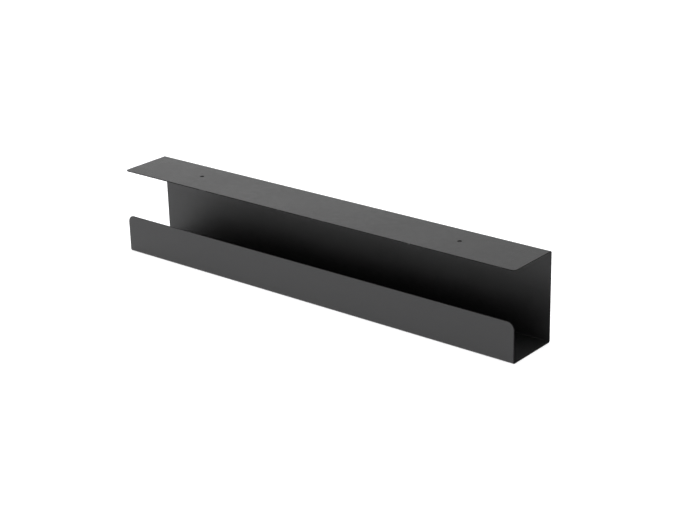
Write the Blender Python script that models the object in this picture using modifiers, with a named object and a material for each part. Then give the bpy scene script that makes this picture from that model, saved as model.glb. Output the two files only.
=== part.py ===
"""Under-desk cable tray: one steel sheet folded into a C, and the two screws that hold it up.

Units are metres, +Z is up and +X runs along the tray. The origin is the centre of the flange's
top face, which lies against the underside of the desk. The open front faces -Y.
"""
from math import cos, pi, radians, sin

import bmesh
import bpy
from mathutils import Vector

MM = 0.001

# Folded sheet
LENGTH = 600 * MM
DEPTH = 74 * MM
HEIGHT = 111 * MM
LIP_HEIGHT = 49.5 * MM
SHEET = 1.2 * MM
BEND_INNER_RADIUS = 1.3 * MM
BEND_SEGMENTS = 8
FLANGE_CORNER_RADIUS = 5 * MM
LIP_CORNER_RADIUS = 9 * MM
CORNER_SEGMENTS = 10

# Screw holes in the flange
HOLE_DIAMETER = 5 * MM
HOLE_FROM_END = 100 * MM
HOLE_FROM_BACK = 35 * MM
HOLE_SEGMENTS = 48

# Pan-head wood screw, 4 x 13 mm
SCREW_LENGTH = 13 * MM
THREAD_DIAMETER = 4 * MM
POINT_LENGTH = 5 * MM
HEAD_DIAMETER = 8 * MM
HEAD_HEIGHT = 2.5 * MM
HEAD_RIM = 0.5 * MM
HEAD_CROWN_DEPTH = HEAD_HEIGHT - HEAD_RIM
HEAD_CROWN_WIDTH = 2.2 * MM
CROWN_SEGMENTS = 6
TURN_SEGMENTS = 32
RECESS_SPAN = 4.4 * MM
RECESS_SLOT = 0.9 * MM
RECESS_DEPTH = 1.5 * MM
RECESS_TAPER = 0.6

# At rest each screw's point is just below the flange's top face
POINT_BELOW_TOP = 0.4 * MM

# Outer faces of the folded sheet
FRONT = -DEPTH / 2
BACK = DEPTH / 2
TOP = 0.0
BOTTOM = -HEIGHT
LIP_TOP = BOTTOM + LIP_HEIGHT

HOLE_Y = BACK - HOLE_FROM_BACK
HOLE_X = {
    "left": HOLE_FROM_END - LENGTH / 2,
    "right": LENGTH / 2 - HOLE_FROM_END,
}
HOLE_PATCH = 15 * MM

CUTTER_OVERSHOOT = 5 * MM
MERGE_DISTANCE = 0.01 * MM
SHARP_ANGLE = radians(30)


def clear_scene():
    """Remove every object of the scene."""
    for obj in list(bpy.data.objects):
        bpy.data.objects.remove(obj, do_unlink=True)


def make_collection(name):
    """A new collection under the scene's own."""
    collection = bpy.data.collections.new(name)
    bpy.context.scene.collection.children.link(collection)
    return collection


def make_material(name, colour, roughness, metallic):
    """A Principled material of one finish."""
    material = bpy.data.materials.new(name)
    material.use_nodes = True
    shader = material.node_tree.nodes["Principled BSDF"]
    shader.inputs["Base Color"].default_value = (*colour, 1)
    shader.inputs["Roughness"].default_value = roughness
    shader.inputs["Metallic"].default_value = metallic
    return material


def object_from_bmesh(bm, name, collection):
    """Turn a bmesh into an object in a collection."""
    mesh = bpy.data.meshes.new(name)
    bm.to_mesh(mesh)
    bm.free()
    obj = bpy.data.objects.new(name, mesh)
    collection.objects.link(obj)
    return obj


def cutter_from_bmesh(bm, name):
    """Turn a bmesh into a cutter, which isn't part of the tray."""
    cutter = object_from_bmesh(bm, name, cutters)
    cutter.hide_render = True
    cutter.display_type = "WIRE"
    return cutter


def subtract(obj, cutter):
    """Cut one object out of another."""
    modifier = obj.modifiers.new(cutter.name, "BOOLEAN")
    modifier.operation = "DIFFERENCE"
    modifier.solver = "EXACT"
    modifier.object = cutter


def settle(obj):
    """Apply an object's modifiers, and shade it smooth between its sharp edges."""
    graph = bpy.context.evaluated_depsgraph_get()
    mesh = bpy.data.meshes.new_from_object(obj.evaluated_get(graph))
    mesh.name = obj.name
    mesh.shade_smooth()
    mesh.set_sharp_from_angle(angle=SHARP_ANGLE)
    obj.modifiers.clear()
    obj.data = mesh


def bend(centre_y, centre_z, start_angle):
    """Outer face of one quarter-turn bend, clockwise in the (y, z) plane."""
    radius = BEND_INNER_RADIUS + SHEET
    points = []
    for step in range(BEND_SEGMENTS + 1):
        angle = start_angle - step / BEND_SEGMENTS * pi / 2
        points.append((centre_y + radius * cos(angle), centre_z + radius * sin(angle)))
    return points


def sheet_profile():
    """The C's outer face as (y, z), from the flange's front edge round to the lip's top edge."""
    inset = BEND_INNER_RADIUS + SHEET
    return [
        (FRONT, TOP),
        *bend(BACK - inset, TOP - inset, pi / 2),
        *bend(BACK - inset, BOTTOM + inset, 0),
        *bend(FRONT + inset, BOTTOM + inset, -pi / 2),
        (FRONT, LIP_TOP),
    ]


def round_corners(bm, height, radius):
    """Round the sheet's two free corners at one height on its front."""
    places = [Vector((x, FRONT, height)) for x in (-LENGTH / 2, LENGTH / 2)]
    corners = [
        vert
        for vert in bm.verts
        if any((vert.co - place).length < MERGE_DISTANCE for place in places)
    ]
    bmesh.ops.bevel(
        bm,
        geom=corners,
        offset=radius,
        offset_type="OFFSET",
        affect="VERTICES",
        segments=CORNER_SEGMENTS,
        profile=0.5,
    )


def sweep_stations():
    """Where the sheet's faces are divided along x: its ends, and either side of each hole."""
    beside_holes = [x + side * HOLE_PATCH for x in HOLE_X.values() for side in (-1, 1)]
    return [-LENGTH / 2, *sorted(beside_holes), LENGTH / 2]


def make_folded_tray():
    """The sheet: flange, back wall, floor and lip, with its corners rounded and two holes."""
    bm = bmesh.new()
    stations = sweep_stations()
    points = [bm.verts.new((stations[0], y, z)) for y, z in sheet_profile()]
    edges = [bm.edges.new(pair) for pair in zip(points, points[1:])]
    for near, far in zip(stations, stations[1:]):
        swept = bmesh.ops.extrude_edge_only(bm, edges=edges)["geom"]
        points = [item for item in swept if isinstance(item, bmesh.types.BMVert)]
        edges = [item for item in swept if isinstance(item, bmesh.types.BMEdge)]
        edges = [edge for edge in edges if all(vert in points for vert in edge.verts)]
        bmesh.ops.translate(bm, verts=points, vec=(far - near, 0, 0))
    round_corners(bm, TOP, FLANGE_CORNER_RADIUS)
    round_corners(bm, LIP_TOP, LIP_CORNER_RADIUS)

    tray = object_from_bmesh(bm, "folded_tray", parts)
    thickness = tray.modifiers.new("sheet", "SOLIDIFY")
    thickness.thickness = SHEET
    thickness.offset = -1
    thickness.use_even_offset = True
    for side in HOLE_X:
        subtract(tray, make_hole_cutter(side))
    settle(tray)
    tray.data.materials.append(coated_steel)


def make_hole_cutter(side):
    """A cylinder through the flange."""
    bm = bmesh.new()
    bmesh.ops.create_cone(
        bm,
        cap_ends=True,
        segments=HOLE_SEGMENTS,
        radius1=HOLE_DIAMETER / 2,
        radius2=HOLE_DIAMETER / 2,
        depth=SHEET + 2 * CUTTER_OVERSHOOT,
    )
    cutter = cutter_from_bmesh(bm, f"hole_cutter_{side}")
    cutter.location = (HOLE_X[side], HOLE_Y, TOP - SHEET / 2)
    return cutter


def screw_profile():
    """Half section of a screw as (radius, z), point up, with z = 0 at the face under its head."""
    crown_centre = HEAD_DIAMETER / 2 - HEAD_CROWN_WIDTH
    profile = [
        (0, SCREW_LENGTH),
        (THREAD_DIAMETER / 2, SCREW_LENGTH - POINT_LENGTH),
        (THREAD_DIAMETER / 2, 0),
        (HEAD_DIAMETER / 2, 0),
    ]
    for step in range(CROWN_SEGMENTS + 1):
        angle = step / CROWN_SEGMENTS * pi / 2
        radius = crown_centre + HEAD_CROWN_WIDTH * cos(angle)
        profile.append((radius, -HEAD_RIM - HEAD_CROWN_DEPTH * sin(angle)))
    profile.append((0, -HEAD_HEIGHT))
    return profile


def make_recess_cutter(name, turn):
    """One of the two crossing slots of the drive recess, narrower at its bottom."""
    bm = bmesh.new()
    height = RECESS_DEPTH + CUTTER_OVERSHOOT
    bmesh.ops.create_cube(bm, size=1)
    bmesh.ops.scale(bm, vec=(RECESS_SPAN, RECESS_SLOT, height), verts=bm.verts)
    bmesh.ops.translate(bm, vec=(0, 0, RECESS_DEPTH - height / 2), verts=bm.verts)
    bottom_of_recess = [vert for vert in bm.verts if vert.co.z > 0]
    bmesh.ops.scale(bm, vec=(RECESS_TAPER, 1, 1), verts=bottom_of_recess)
    cutter = cutter_from_bmesh(bm, name)
    cutter.location.z = -HEAD_HEIGHT
    cutter.rotation_euler.z = turn
    return cutter


def make_fixing_screws():
    """Two equal screws, each with its origin on its axis at the face under its head."""
    bm = bmesh.new()
    points = [bm.verts.new((radius, 0, z)) for radius, z in screw_profile()]
    for pair in zip(points, points[1:]):
        bm.edges.new(pair)
    first = object_from_bmesh(bm, "fixing_screw_left", parts)
    turned = first.modifiers.new("turned", "SCREW")
    turned.steps = TURN_SEGMENTS
    turned.render_steps = TURN_SEGMENTS
    turned.use_merge_vertices = True
    turned.merge_threshold = MERGE_DISTANCE
    subtract(first, make_recess_cutter("recess_cutter_1", 0))
    subtract(first, make_recess_cutter("recess_cutter_2", pi / 2))
    settle(first)
    first.data.materials.append(black_zinc)

    second = bpy.data.objects.new("fixing_screw_right", first.data)
    parts.objects.link(second)
    for side, screw in (("left", first), ("right", second)):
        screw.location = (HOLE_X[side], HOLE_Y, TOP - POINT_BELOW_TOP - SCREW_LENGTH)


clear_scene()
parts = make_collection("cable_tray")
cutters = make_collection("cutters")
coated_steel = make_material("black_powder_coat", (0.035, 0.035, 0.037), 0.45, 0.0)
black_zinc = make_material("black_zinc", (0.06, 0.06, 0.065), 0.35, 0.9)
make_folded_tray()
make_fixing_screws()
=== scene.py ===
"""Looks of the under-desk cable tray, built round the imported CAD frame.

Everything is in metres in the CAD frame: +X along the tray, the open front at -Y, and z = 0 at the
flange's top face.
"""
from math import ceil, cos, floor, pi, radians, sin

import bmesh
import bpy
from mathutils import Matrix, Vector


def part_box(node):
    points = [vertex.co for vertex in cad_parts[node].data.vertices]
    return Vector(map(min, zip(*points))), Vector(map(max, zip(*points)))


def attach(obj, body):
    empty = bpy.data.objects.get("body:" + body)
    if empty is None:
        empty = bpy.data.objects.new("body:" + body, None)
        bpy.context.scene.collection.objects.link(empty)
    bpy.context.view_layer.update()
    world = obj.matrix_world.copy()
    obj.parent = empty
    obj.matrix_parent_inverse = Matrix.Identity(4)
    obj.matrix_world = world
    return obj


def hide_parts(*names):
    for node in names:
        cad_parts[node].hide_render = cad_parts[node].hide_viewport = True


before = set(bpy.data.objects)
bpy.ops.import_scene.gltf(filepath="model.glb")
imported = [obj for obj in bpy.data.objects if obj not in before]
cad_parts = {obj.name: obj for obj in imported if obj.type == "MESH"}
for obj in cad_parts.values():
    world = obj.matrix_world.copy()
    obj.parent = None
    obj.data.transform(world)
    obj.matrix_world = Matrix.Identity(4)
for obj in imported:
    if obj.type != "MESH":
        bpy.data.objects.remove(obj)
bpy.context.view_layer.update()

MM = 0.001

# Camera: it looks down on the tray from its right front
CAMERA_TARGET = Vector((15.9, 9.35, -58.8)) * MM
CAMERA_DISTANCE = 1.992
CAMERA_AZIMUTH = radians(39.80)
CAMERA_ELEVATION = radians(21.15)
CAMERA_ROLL = radians(-1.54)
CAMERA_LENS = 87.60

# Folded sheet: the CAD's box gives its length, depth and height
TRAY_LOW, TRAY_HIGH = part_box("folded_tray")
SHEET = 1.2 * MM
LIP_TOP = TRAY_LOW.z + 49.5 * MM
BEND_INNER_RADIUS = 1.3 * MM
BEND_SEGMENTS = 12
FLANGE_CORNER_RADIUS = 5 * MM
LIP_CORNER_RADIUS = 9 * MM
CORNER_SEGMENTS = 16
HOLE_DIAMETER = 5 * MM
HOLE_SEGMENTS = 64
HOLE_PATCH = 12 * MM
EDGE_ROUNDING = 0.3 * MM
EDGE_SEGMENTS = 3
SHARP_ANGLE = radians(40)
CUTTER_OVERSHOOT = 5 * MM
SAME_PLACE = 0.01 * MM

# The tray's material slots, and the one for its cut edges
COATED_PARTS = ("faces", "edges")
CUT_EDGES = COATED_PARTS.index("edges")

# Screw
SCREW_NODES = {"left": "fixing_screw_left", "right": "fixing_screw_right"}
SCREW_LENGTH = 13 * MM
THREAD_RADIUS = 2.0 * MM
CORE_RADIUS = 1.3 * MM
THREAD_PITCH = 1.8 * MM
THREAD_HALF_WIDTH = 0.5 * MM
THREAD_RUN_OUT = 1.0 * MM
POINT_LENGTH = 5 * MM
HEAD_RADIUS = 4.0 * MM
HEAD_HEIGHT = 2.5 * MM
HEAD_RIM = 0.5 * MM
HEAD_UNDER_CHAMFER = 0.12 * MM
CROWN_WIDTH = 2.2 * MM
TURN_COLUMNS = 48
ROWS_PER_PITCH = 12
THREAD_ROWS = ceil(SCREW_LENGTH / THREAD_PITCH + 1) * ROWS_PER_PITCH
CROWN_ROWS = 10
RECESS_SPAN = 4.4 * MM
RECESS_SLOT = 0.9 * MM
RECESS_DEPTH = 1.5 * MM
RECESS_TAPER = 0.6
SAME_THREAD_POINT = 0.001 * MM

# In a neutral colour, blue is this many times red and green
COLD_TINT = 1.03

# Where a finish changes, on a noise that runs from 0 to 1: the shorter, the harder the change
SOFT_CHANGE = (0.3, 0.7)
FIRM_CHANGE = (0.35, 0.65)
HARD_CHANGE = (0.4, 0.6)

# Powder coat
COAT_TONE = 0.010
COAT_TONE_SPREAD = 0.3
COAT_ROUGHNESS = 0.46
COAT_ROUGHNESS_SPREAD = 0.03
COAT_GLOSS = {"faces": 0.48, "edges": 0.05}
COAT_CLOUD_WIDTH = 70 * MM
COAT_SMUDGE_WIDTH = 9 * MM
COAT_SMUDGE_SHARE = 0.5
COAT_PEEL_WIDTH = 2.2 * MM
COAT_PEEL_HEIGHT = 0.05 * MM
COAT_GRAIN_WIDTH = 0.45 * MM
COAT_GRAIN_HEIGHT = 0.09 * MM

# Rubbed spots: where a noise is above a level, which is lower on the cut edges
RUBBED_WIDTH = 14 * MM
RUBBED_TONE = 0.06
RUBBED_FROM = {"faces": 0.80, "edges": 0.60}
RUBBED_FADE = 0.15

# Black zinc: it is worn bright on the thread's crest, by a share that varies with its stains
ZINC_DARK = (0.030, 0.031, 0.035, 1)
ZINC_LIGHT = (0.075, 0.076, 0.080, 1)
ZINC_WORN = (0.42, 0.42, 0.43, 1)
ZINC_METALLIC = 0.9
ZINC_ROUGHNESS = 0.38
ZINC_ROUGHNESS_SPREAD = 0.09
ZINC_STAIN_WIDTH = 2.0 * MM
ZINC_GRAIN_WIDTH = 0.18 * MM
ZINC_GRAIN_HEIGHT = 0.008 * MM
ZINC_WORN_FROM = 0.85 * THREAD_RADIUS
ZINC_WORN_SHARE = (0.15, 0.6)

# Floor
FLOOR_SIZE = 40.0
FLOOR_GAP = 0.2 * MM
FLOOR_TONE = 0.5
FLOOR_ROUGHNESS = 0.8
FLOOR_GLOW = 0.70

# Light, by the direction that it comes from, as a unit vector: a fade is the stretch of one
# axis over which a light fades, and a right share is what is left of a light on the right
CEILING_LIGHT = 7.0
CEILING_FADE_Z = (0.70, 0.90)
FRONT_LIGHT = 4.0
FRONT_FADE_Z = (0.0, 0.65)
FRONT_FADE_Y = (-1.0, -0.2)
FRONT_RIGHT_SHARE = 0.2
BACK_LIGHT = 1.74
BACK_FADE_Y = (0.1, 0.75)
BACK_FADE_X = (-0.95, -0.16)
BACK_RIGHT_SHARE = 0.1
BACKDROP_WHITE = 1.1
WHITE = (1, 1, 1, 1)


def new_piece(bm, name):
    """A scene object made from a bmesh."""
    mesh = bpy.data.meshes.new(name)
    bm.to_mesh(mesh)
    bm.free()
    piece = bpy.data.objects.new(name, mesh)
    bpy.context.scene.collection.objects.link(piece)
    return piece


def apply_modifiers(piece):
    """Replace a piece's mesh by the one its modifiers make."""
    graph = bpy.context.evaluated_depsgraph_get()
    mesh = bpy.data.meshes.new_from_object(piece.evaluated_get(graph))
    piece.modifiers.clear()
    piece.data = mesh


def subtract(piece, cutter):
    """Cut a cutter out of a piece, and remove the cutter."""
    modifier = piece.modifiers.new("cut", "BOOLEAN")
    modifier.operation = "DIFFERENCE"
    modifier.solver = "EXACT"
    modifier.object = cutter
    apply_modifiers(piece)
    bpy.data.objects.remove(cutter)


# Folded tray ------------------------------------------------------------------------------------


def bend(centre_y, centre_z, start_angle):
    """Outer face of one quarter-turn bend, clockwise in the (y, z) plane."""
    radius = BEND_INNER_RADIUS + SHEET
    points = []
    for step in range(BEND_SEGMENTS + 1):
        angle = start_angle - step / BEND_SEGMENTS * pi / 2
        points.append((centre_y + radius * cos(angle), centre_z + radius * sin(angle)))
    return points


def sheet_profile():
    """The C's outer face as (y, z), from the flange's front edge round to the lip's top edge."""
    inset = BEND_INNER_RADIUS + SHEET
    front, back = TRAY_LOW.y, TRAY_HIGH.y
    bottom, top = TRAY_LOW.z, TRAY_HIGH.z
    return [
        (front, top),
        *bend(back - inset, top - inset, pi / 2),
        *bend(back - inset, bottom + inset, 0),
        *bend(front + inset, bottom + inset, -pi / 2),
        (front, LIP_TOP),
    ]


def sweep_sheet(stations):
    """The sheet's outer face as a bmesh, divided along x at the stations."""
    bm = bmesh.new()
    points = [bm.verts.new((stations[0], y, z)) for y, z in sheet_profile()]
    edges = [bm.edges.new(pair) for pair in zip(points, points[1:])]
    for near, far in zip(stations, stations[1:]):
        swept = bmesh.ops.extrude_edge_only(bm, edges=edges)["geom"]
        points = [item for item in swept if isinstance(item, bmesh.types.BMVert)]
        edges = [item for item in swept if isinstance(item, bmesh.types.BMEdge)]
        edges = [edge for edge in edges if all(vert in points for vert in edge.verts)]
        bmesh.ops.translate(bm, verts=points, vec=(far - near, 0, 0))
    return bm


def round_corners(bm, height, radius):
    """Round the sheet's two free corners at one height on its front."""
    places = [Vector((x, TRAY_LOW.y, height)) for x in (TRAY_LOW.x, TRAY_HIGH.x)]
    corners = [
        vert
        for vert in bm.verts
        if any((vert.co - place).length < SAME_PLACE for place in places)
    ]
    bmesh.ops.bevel(
        bm,
        geom=corners,
        offset=radius,
        offset_type="OFFSET",
        affect="VERTICES",
        segments=CORNER_SEGMENTS,
        profile=0.5,
    )


def screw_place(side):
    """Where a screw's axis meets the face under its head, at rest."""
    low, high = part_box(SCREW_NODES[side])
    return Vector(((low.x + high.x) / 2, (low.y + high.y) / 2, high.z - SCREW_LENGTH))


def make_hole_cutter(side):
    """A cylinder through the flange, on the screw's axis."""
    bm = bmesh.new()
    bmesh.ops.create_cone(
        bm,
        cap_ends=True,
        segments=HOLE_SEGMENTS,
        radius1=HOLE_DIAMETER / 2,
        radius2=HOLE_DIAMETER / 2,
        depth=SHEET + 2 * CUTTER_OVERSHOOT,
    )
    for face in bm.faces:
        face.material_index = CUT_EDGES
    cutter = new_piece(bm, f"hole_cutter_{side}")
    axis = screw_place(side)
    cutter.location = (axis.x, axis.y, TRAY_HIGH.z - SHEET / 2)
    return cutter


def make_tray():
    """The folded sheet with rounded corners, two holes and softly rounded cut edges."""
    holes = [screw_place(side).x for side in SCREW_NODES]
    beside_holes = [x + direction * HOLE_PATCH for x in holes for direction in (-1, 1)]
    bm = sweep_sheet([TRAY_LOW.x, *sorted(beside_holes), TRAY_HIGH.x])
    round_corners(bm, TRAY_HIGH.z, FLANGE_CORNER_RADIUS)
    round_corners(bm, LIP_TOP, LIP_CORNER_RADIUS)
    tray = new_piece(bm, "folded_sheet_tray")
    for part in COATED_PARTS:
        tray.data.materials.append(powder_coat(part))

    thickness = tray.modifiers.new("thickness", "SOLIDIFY")
    thickness.thickness = SHEET
    thickness.offset = -1
    thickness.use_even_offset = True
    thickness.material_offset_rim = CUT_EDGES
    for side in SCREW_NODES:
        subtract(tray, make_hole_cutter(side))

    tray.data.shade_smooth()
    rounding = tray.modifiers.new("edge_rounding", "BEVEL")
    rounding.width = EDGE_ROUNDING
    rounding.segments = EDGE_SEGMENTS
    rounding.limit_method = "ANGLE"
    rounding.angle_limit = SHARP_ANGLE
    rounding.harden_normals = True
    rounding.material = CUT_EDGES
    apply_modifiers(tray)
    return tray


# Screws -----------------------------------------------------------------------------------------


def thread_radius(height, turn):
    """Radius of the threaded shank at a height above the head, at a share of a turn."""
    to_tip = min(1, (SCREW_LENGTH - height) / POINT_LENGTH)
    phase = height / THREAD_PITCH - turn
    off_crest = abs(phase - floor(phase) - 0.5) * THREAD_PITCH
    flank = max(0, 1 - off_crest / THREAD_HALF_WIDTH)
    run_out = min(1, height / THREAD_RUN_OUT)
    return (CORE_RADIUS + (THREAD_RADIUS - CORE_RADIUS) * flank * run_out) * to_tip


def head_rows():
    """The head's outline as (radius, height), from the flat of its crown to the face under it."""
    rows = []
    for step in range(CROWN_ROWS + 1):
        angle = (1 - step / CROWN_ROWS) * pi / 2
        radius = HEAD_RADIUS - CROWN_WIDTH + CROWN_WIDTH * cos(angle)
        rows.append((radius, -HEAD_RIM - (HEAD_HEIGHT - HEAD_RIM) * sin(angle)))
    rows.append((HEAD_RADIUS, -HEAD_UNDER_CHAMFER))
    rows.append((HEAD_RADIUS - HEAD_UNDER_CHAMFER, 0))
    return rows


def thread_rows(turn):
    """The shank's outline as (radius, height) at a share of a turn: its rows follow the thread."""
    rows = []
    for row in range(THREAD_ROWS + 1):
        height = (row / ROWS_PER_PITCH - 1 + turn) * THREAD_PITCH
        height = min(max(height, 0), SCREW_LENGTH)
        rows.append((thread_radius(height, turn), height))
    return rows


def make_screw_body():
    """A pan-head wood screw, point up, with its origin on its axis at the face under its head."""
    bm = bmesh.new()
    columns = []
    for column in range(TURN_COLUMNS):
        turn = column / TURN_COLUMNS
        x, y = cos(turn * 2 * pi), sin(turn * 2 * pi)
        rows = head_rows() + thread_rows(turn)
        columns.append([bm.verts.new((radius * x, radius * y, height)) for radius, height in rows])
    head_count = len(head_rows())
    last = len(columns[0]) - 1
    for column, near in enumerate(columns):
        far = columns[(column + 1) % TURN_COLUMNS]
        wraps = far is columns[0]
        for row in range(last):
            # After one turn the thread's rows have risen by one pitch
            shift = ROWS_PER_PITCH if wraps and row >= head_count else 0
            low, high = min(row + shift, last), min(row + 1 + shift, last)
            corners = [near[row], far[low], far[high], near[row + 1]]
            if low == high:
                corners.pop(2)
            bm.faces.new(corners)
    bm.faces.new([verts[0] for verts in reversed(columns)])
    bmesh.ops.remove_doubles(bm, verts=bm.verts, dist=SAME_THREAD_POINT)
    bmesh.ops.recalc_face_normals(bm, faces=bm.faces)
    return new_piece(bm, "screw")


def make_recess_cutter(quarter_turns):
    """One bar of the cross recess, narrower at its bottom."""
    bm = bmesh.new()
    bmesh.ops.create_cube(bm, size=1)
    for vert in bm.verts:
        inside = vert.co.z > 0
        vert.co.x *= RECESS_SPAN * (RECESS_TAPER if inside else 1)
        vert.co.y *= RECESS_SLOT * (RECESS_TAPER if inside else 1)
        vert.co.z = -HEAD_HEIGHT + (RECESS_DEPTH if inside else -SAME_PLACE)
    bmesh.ops.rotate(bm, verts=bm.verts, matrix=Matrix.Rotation(quarter_turns * pi / 2, 3, "Z"))
    return new_piece(bm, f"recess_cutter_{quarter_turns}")


def make_screw(side):
    """A threaded screw with a cross recess, standing under its hole."""
    screw = make_screw_body()
    screw.name = f"wood_screw_{side}"
    for quarter_turns in (0, 1):
        subtract(screw, make_recess_cutter(quarter_turns))
    screw.data.shade_smooth()
    screw.data.set_sharp_from_angle(angle=SHARP_ANGLE)
    screw.data.materials.append(black_zinc())
    screw.location = screw_place(side)
    return screw


# Materials --------------------------------------------------------------------------------------


def set_input(tree, target, value):
    """Link a socket to an input, or set the input to a plain value."""
    if isinstance(value, bpy.types.NodeSocket):
        tree.links.new(value, target)
    else:
        target.default_value = value


def add_node(tree, kind, inputs, **settings):
    """A node with its settings, and with each of its inputs linked or set."""
    node = tree.nodes.new(kind)
    for name, value in settings.items():
        setattr(node, name, value)
    for name, value in inputs.items():
        set_input(tree, node.inputs[name], value)
    return node


def noise(tree, place, width, detail):
    """Soft random values from 0 to 1, with spots of a given width. Detail adds finer spots."""
    inputs = {"Vector": place, "Scale": 1 / width, "Detail": detail}
    return add_node(tree, "ShaderNodeTexNoise", inputs).outputs["Fac"]


def ramp(tree, source, start, end, low, high):
    """A socket that goes smoothly from low to high as the source goes from start to end."""
    inputs = {"Value": source, "From Min": start, "From Max": end, "To Min": low, "To Max": high}
    node = add_node(tree, "ShaderNodeMapRange", inputs, interpolation_type="SMOOTHSTEP")
    return node.outputs["Result"]


def combine(tree, operation, first, second):
    """A socket with one piece of arithmetic done on two sockets or numbers."""
    return add_node(tree, "ShaderNodeMath", {0: first, 1: second}, operation=operation).outputs[0]


def mix_colours(tree, share, first, second):
    """A colour that goes from the first to the second as the share goes from 0 to 1."""
    node = add_node(tree, "ShaderNodeMix", {"Factor": share}, data_type="RGBA")
    inputs = {socket.identifier: socket for socket in node.inputs}
    outputs = {socket.identifier: socket for socket in node.outputs}
    set_input(tree, inputs["A_Color"], first)
    set_input(tree, inputs["B_Color"], second)
    return outputs["Result_Color"]


def bump(tree, height, distance, normal=None):
    """A normal with a height pattern raised by a distance, on top of another normal."""
    inputs = {"Height": height, "Distance": distance}
    if normal:
        inputs["Normal"] = normal
    return add_node(tree, "ShaderNodeBump", inputs).outputs["Normal"]


def new_material(name):
    """A material, its node tree and its shader."""
    material = bpy.data.materials.new(name)
    material.use_nodes = True
    return material, material.node_tree, material.node_tree.nodes["Principled BSDF"]


def grey(tone):
    """A neutral colour, faintly cold."""
    return (tone, tone, tone * COLD_TINT, 1)


def spread(middle, half):
    """The lowest and highest value of what varies by a half spread about its middle."""
    return middle - half, middle + half


def powder_coat(part):
    """Semi-matt black powder coat with orange peel, a fine grain, smudges and rubbed spots."""
    material, tree, shader = new_material(f"powder_coat_on_{part}")
    place = add_node(tree, "ShaderNodeTexCoord", {}).outputs["Object"]
    clouds = noise(tree, place, COAT_CLOUD_WIDTH, detail=4)
    smudges = noise(tree, place, COAT_SMUDGE_WIDTH, detail=3)
    peel = noise(tree, place, COAT_PEEL_WIDTH, detail=2)
    grain = noise(tree, place, COAT_GRAIN_WIDTH, detail=2)
    rub = noise(tree, place, RUBBED_WIDTH, detail=5)
    uneven = combine(tree, "MULTIPLY", combine(tree, "ADD", clouds, smudges), 0.5)

    dark, light = (grey(COAT_TONE * share) for share in spread(1, COAT_TONE_SPREAD))
    coat = mix_colours(tree, ramp(tree, grain, *SOFT_CHANGE, 0, 1), dark, light)
    smudged = ramp(tree, uneven, *FIRM_CHANGE, 0, COAT_SMUDGE_SHARE)
    coat = mix_colours(tree, smudged, coat, light)
    rubbed = ramp(tree, rub, RUBBED_FROM[part], RUBBED_FROM[part] + RUBBED_FADE, 0, 1)
    colour = mix_colours(tree, rubbed, coat, grey(RUBBED_TONE))
    tree.links.new(colour, shader.inputs["Base Color"])

    lowest, highest = spread(COAT_ROUGHNESS, COAT_ROUGHNESS_SPREAD)
    roughness = ramp(tree, uneven, *SOFT_CHANGE, lowest, highest)
    tree.links.new(roughness, shader.inputs["Roughness"])
    shader.inputs["Specular IOR Level"].default_value = COAT_GLOSS[part]
    normal = bump(tree, grain, COAT_GRAIN_HEIGHT, bump(tree, peel, COAT_PEEL_HEIGHT))
    tree.links.new(normal, shader.inputs["Normal"])
    return material


def distance_from_axis(tree, axes):
    """How far a place is from the screw's own axis, from its place's x and y."""
    squares = [combine(tree, "MULTIPLY", axes[axis], axes[axis]) for axis in "XY"]
    return combine(tree, "POWER", combine(tree, "ADD", *squares), 0.5)


def black_zinc():
    """Black zinc plating: a stained dark metal, bright where the thread's crest is rubbed."""
    material, tree, shader = new_material("black_zinc")
    place = add_node(tree, "ShaderNodeTexCoord", {}).outputs["Object"]
    stains = noise(tree, place, ZINC_STAIN_WIDTH, detail=4)
    grain = noise(tree, place, ZINC_GRAIN_WIDTH, detail=3)
    plating = mix_colours(tree, ramp(tree, stains, *FIRM_CHANGE, 0, 1), ZINC_DARK, ZINC_LIGHT)

    axes = add_node(tree, "ShaderNodeSeparateXYZ", {"Vector": place}).outputs
    radius = distance_from_axis(tree, axes)
    on_crest = ramp(tree, radius, ZINC_WORN_FROM, THREAD_RADIUS, 0, 1)
    on_shank = ramp(tree, axes["Z"], 0, THREAD_RUN_OUT, 0, 1)
    rubbed = ramp(tree, stains, *HARD_CHANGE, *ZINC_WORN_SHARE)
    worn = combine(tree, "MULTIPLY", combine(tree, "MULTIPLY", on_crest, on_shank), rubbed)
    tree.links.new(mix_colours(tree, worn, plating, ZINC_WORN), shader.inputs["Base Color"])

    lowest, highest = spread(ZINC_ROUGHNESS, ZINC_ROUGHNESS_SPREAD)
    roughness = ramp(tree, stains, *SOFT_CHANGE, lowest, highest)
    tree.links.new(roughness, shader.inputs["Roughness"])
    shader.inputs["Metallic"].default_value = ZINC_METALLIC
    tree.links.new(bump(tree, grain, ZINC_GRAIN_HEIGHT), shader.inputs["Normal"])
    return material


# Stage ------------------------------------------------------------------------------------------


def make_floor():
    """A plain floor under the tray, which glows softly like a light table and so looks white."""
    bm = bmesh.new()
    bmesh.ops.create_grid(bm, x_segments=1, y_segments=1, size=FLOOR_SIZE / 2)
    floor_piece = new_piece(bm, "floor")
    floor_piece.location.z = TRAY_LOW.z - FLOOR_GAP
    material, _, shader = new_material("pale_floor")
    shader.inputs["Base Color"].default_value = grey(FLOOR_TONE)
    shader.inputs["Roughness"].default_value = FLOOR_ROUGHNESS
    shader.inputs["Emission Color"].default_value = WHITE
    shader.inputs["Emission Strength"].default_value = FLOOR_GLOW
    floor_piece.data.materials.append(material)


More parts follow.
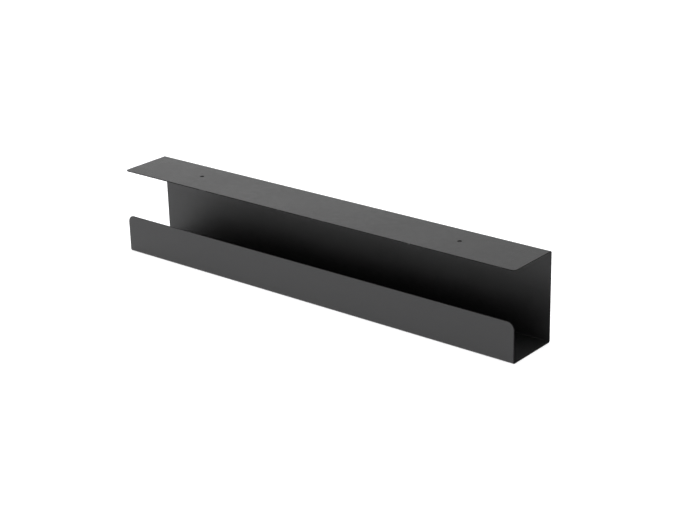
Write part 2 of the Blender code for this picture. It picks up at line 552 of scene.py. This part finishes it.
def make_light():
    """Soft studio light: a bright ceiling, a pale wall behind and low light from the front."""
    world = bpy.data.worlds.new("studio")
    world.use_nodes = True
    tree = world.node_tree
    direction = add_node(tree, "ShaderNodeTexCoord", {}).outputs["Generated"]
    x, y, z = add_node(tree, "ShaderNodeSeparateXYZ", {"Vector": direction}).outputs

    ceiling = ramp(tree, z, *CEILING_FADE_Z, 0, CEILING_LIGHT)
    ceiling = combine(tree, "MULTIPLY", ceiling, ramp(tree, x, -1, 1, 1, 0))
    front = ramp(tree, y, *FRONT_FADE_Y, FRONT_LIGHT, 0)
    front = combine(tree, "MULTIPLY", front, ramp(tree, z, *FRONT_FADE_Z, 1, 0))
    front = combine(tree, "MULTIPLY", front, ramp(tree, x, -1, 1, 1, FRONT_RIGHT_SHARE))
    back = ramp(tree, y, *BACK_FADE_Y, 0, BACK_LIGHT)
    back = combine(tree, "MULTIPLY", back, ramp(tree, x, *BACK_FADE_X, 1, BACK_RIGHT_SHARE))
    lighting = combine(tree, "ADD", combine(tree, "ADD", front, back), ceiling)

    # The camera itself sees a plain white backdrop
    seen = add_node(tree, "ShaderNodeLightPath", {}).outputs["Is Camera Ray"]
    strength = add_node(tree, "ShaderNodeMix", {"Factor": seen, "A": lighting, "B": BACKDROP_WHITE})
    background = tree.nodes["Background"]
    background.inputs["Color"].default_value = WHITE
    tree.links.new(strength.outputs["Result"], background.inputs["Strength"])
    bpy.context.scene.world = world

    # The Standard view keeps white pure
    bpy.context.scene.view_settings.view_transform = "Standard"


def make_camera():
    """The scene's camera, aimed from its azimuth, elevation and roll."""
    azimuth, elevation = CAMERA_AZIMUTH, CAMERA_ELEVATION
    back = Vector((sin(azimuth) * cos(elevation), -cos(azimuth) * cos(elevation), sin(elevation)))
    level_right = Vector((cos(azimuth), sin(azimuth), 0))
    level_up = back.cross(level_right)
    right = level_right * cos(CAMERA_ROLL) + level_up * sin(CAMERA_ROLL)
    up = level_up * cos(CAMERA_ROLL) - level_right * sin(CAMERA_ROLL)
    camera = bpy.data.objects.new("camera", bpy.data.cameras.new("camera"))
    camera.data.lens = CAMERA_LENS
    place = Matrix.Translation(CAMERA_TARGET + back * CAMERA_DISTANCE)
    camera.matrix_world = place @ Matrix((right, up, back)).transposed().to_4x4()
    bpy.context.scene.collection.objects.link(camera)
    bpy.context.scene.camera = camera


make_camera()
make_floor()
make_light()
tray = make_tray()
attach(tray, "tray")
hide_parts("folded_tray")
for side, node in SCREW_NODES.items():
    screw = make_screw(side)
    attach(screw, f"{side}_screw")
    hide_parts(node)
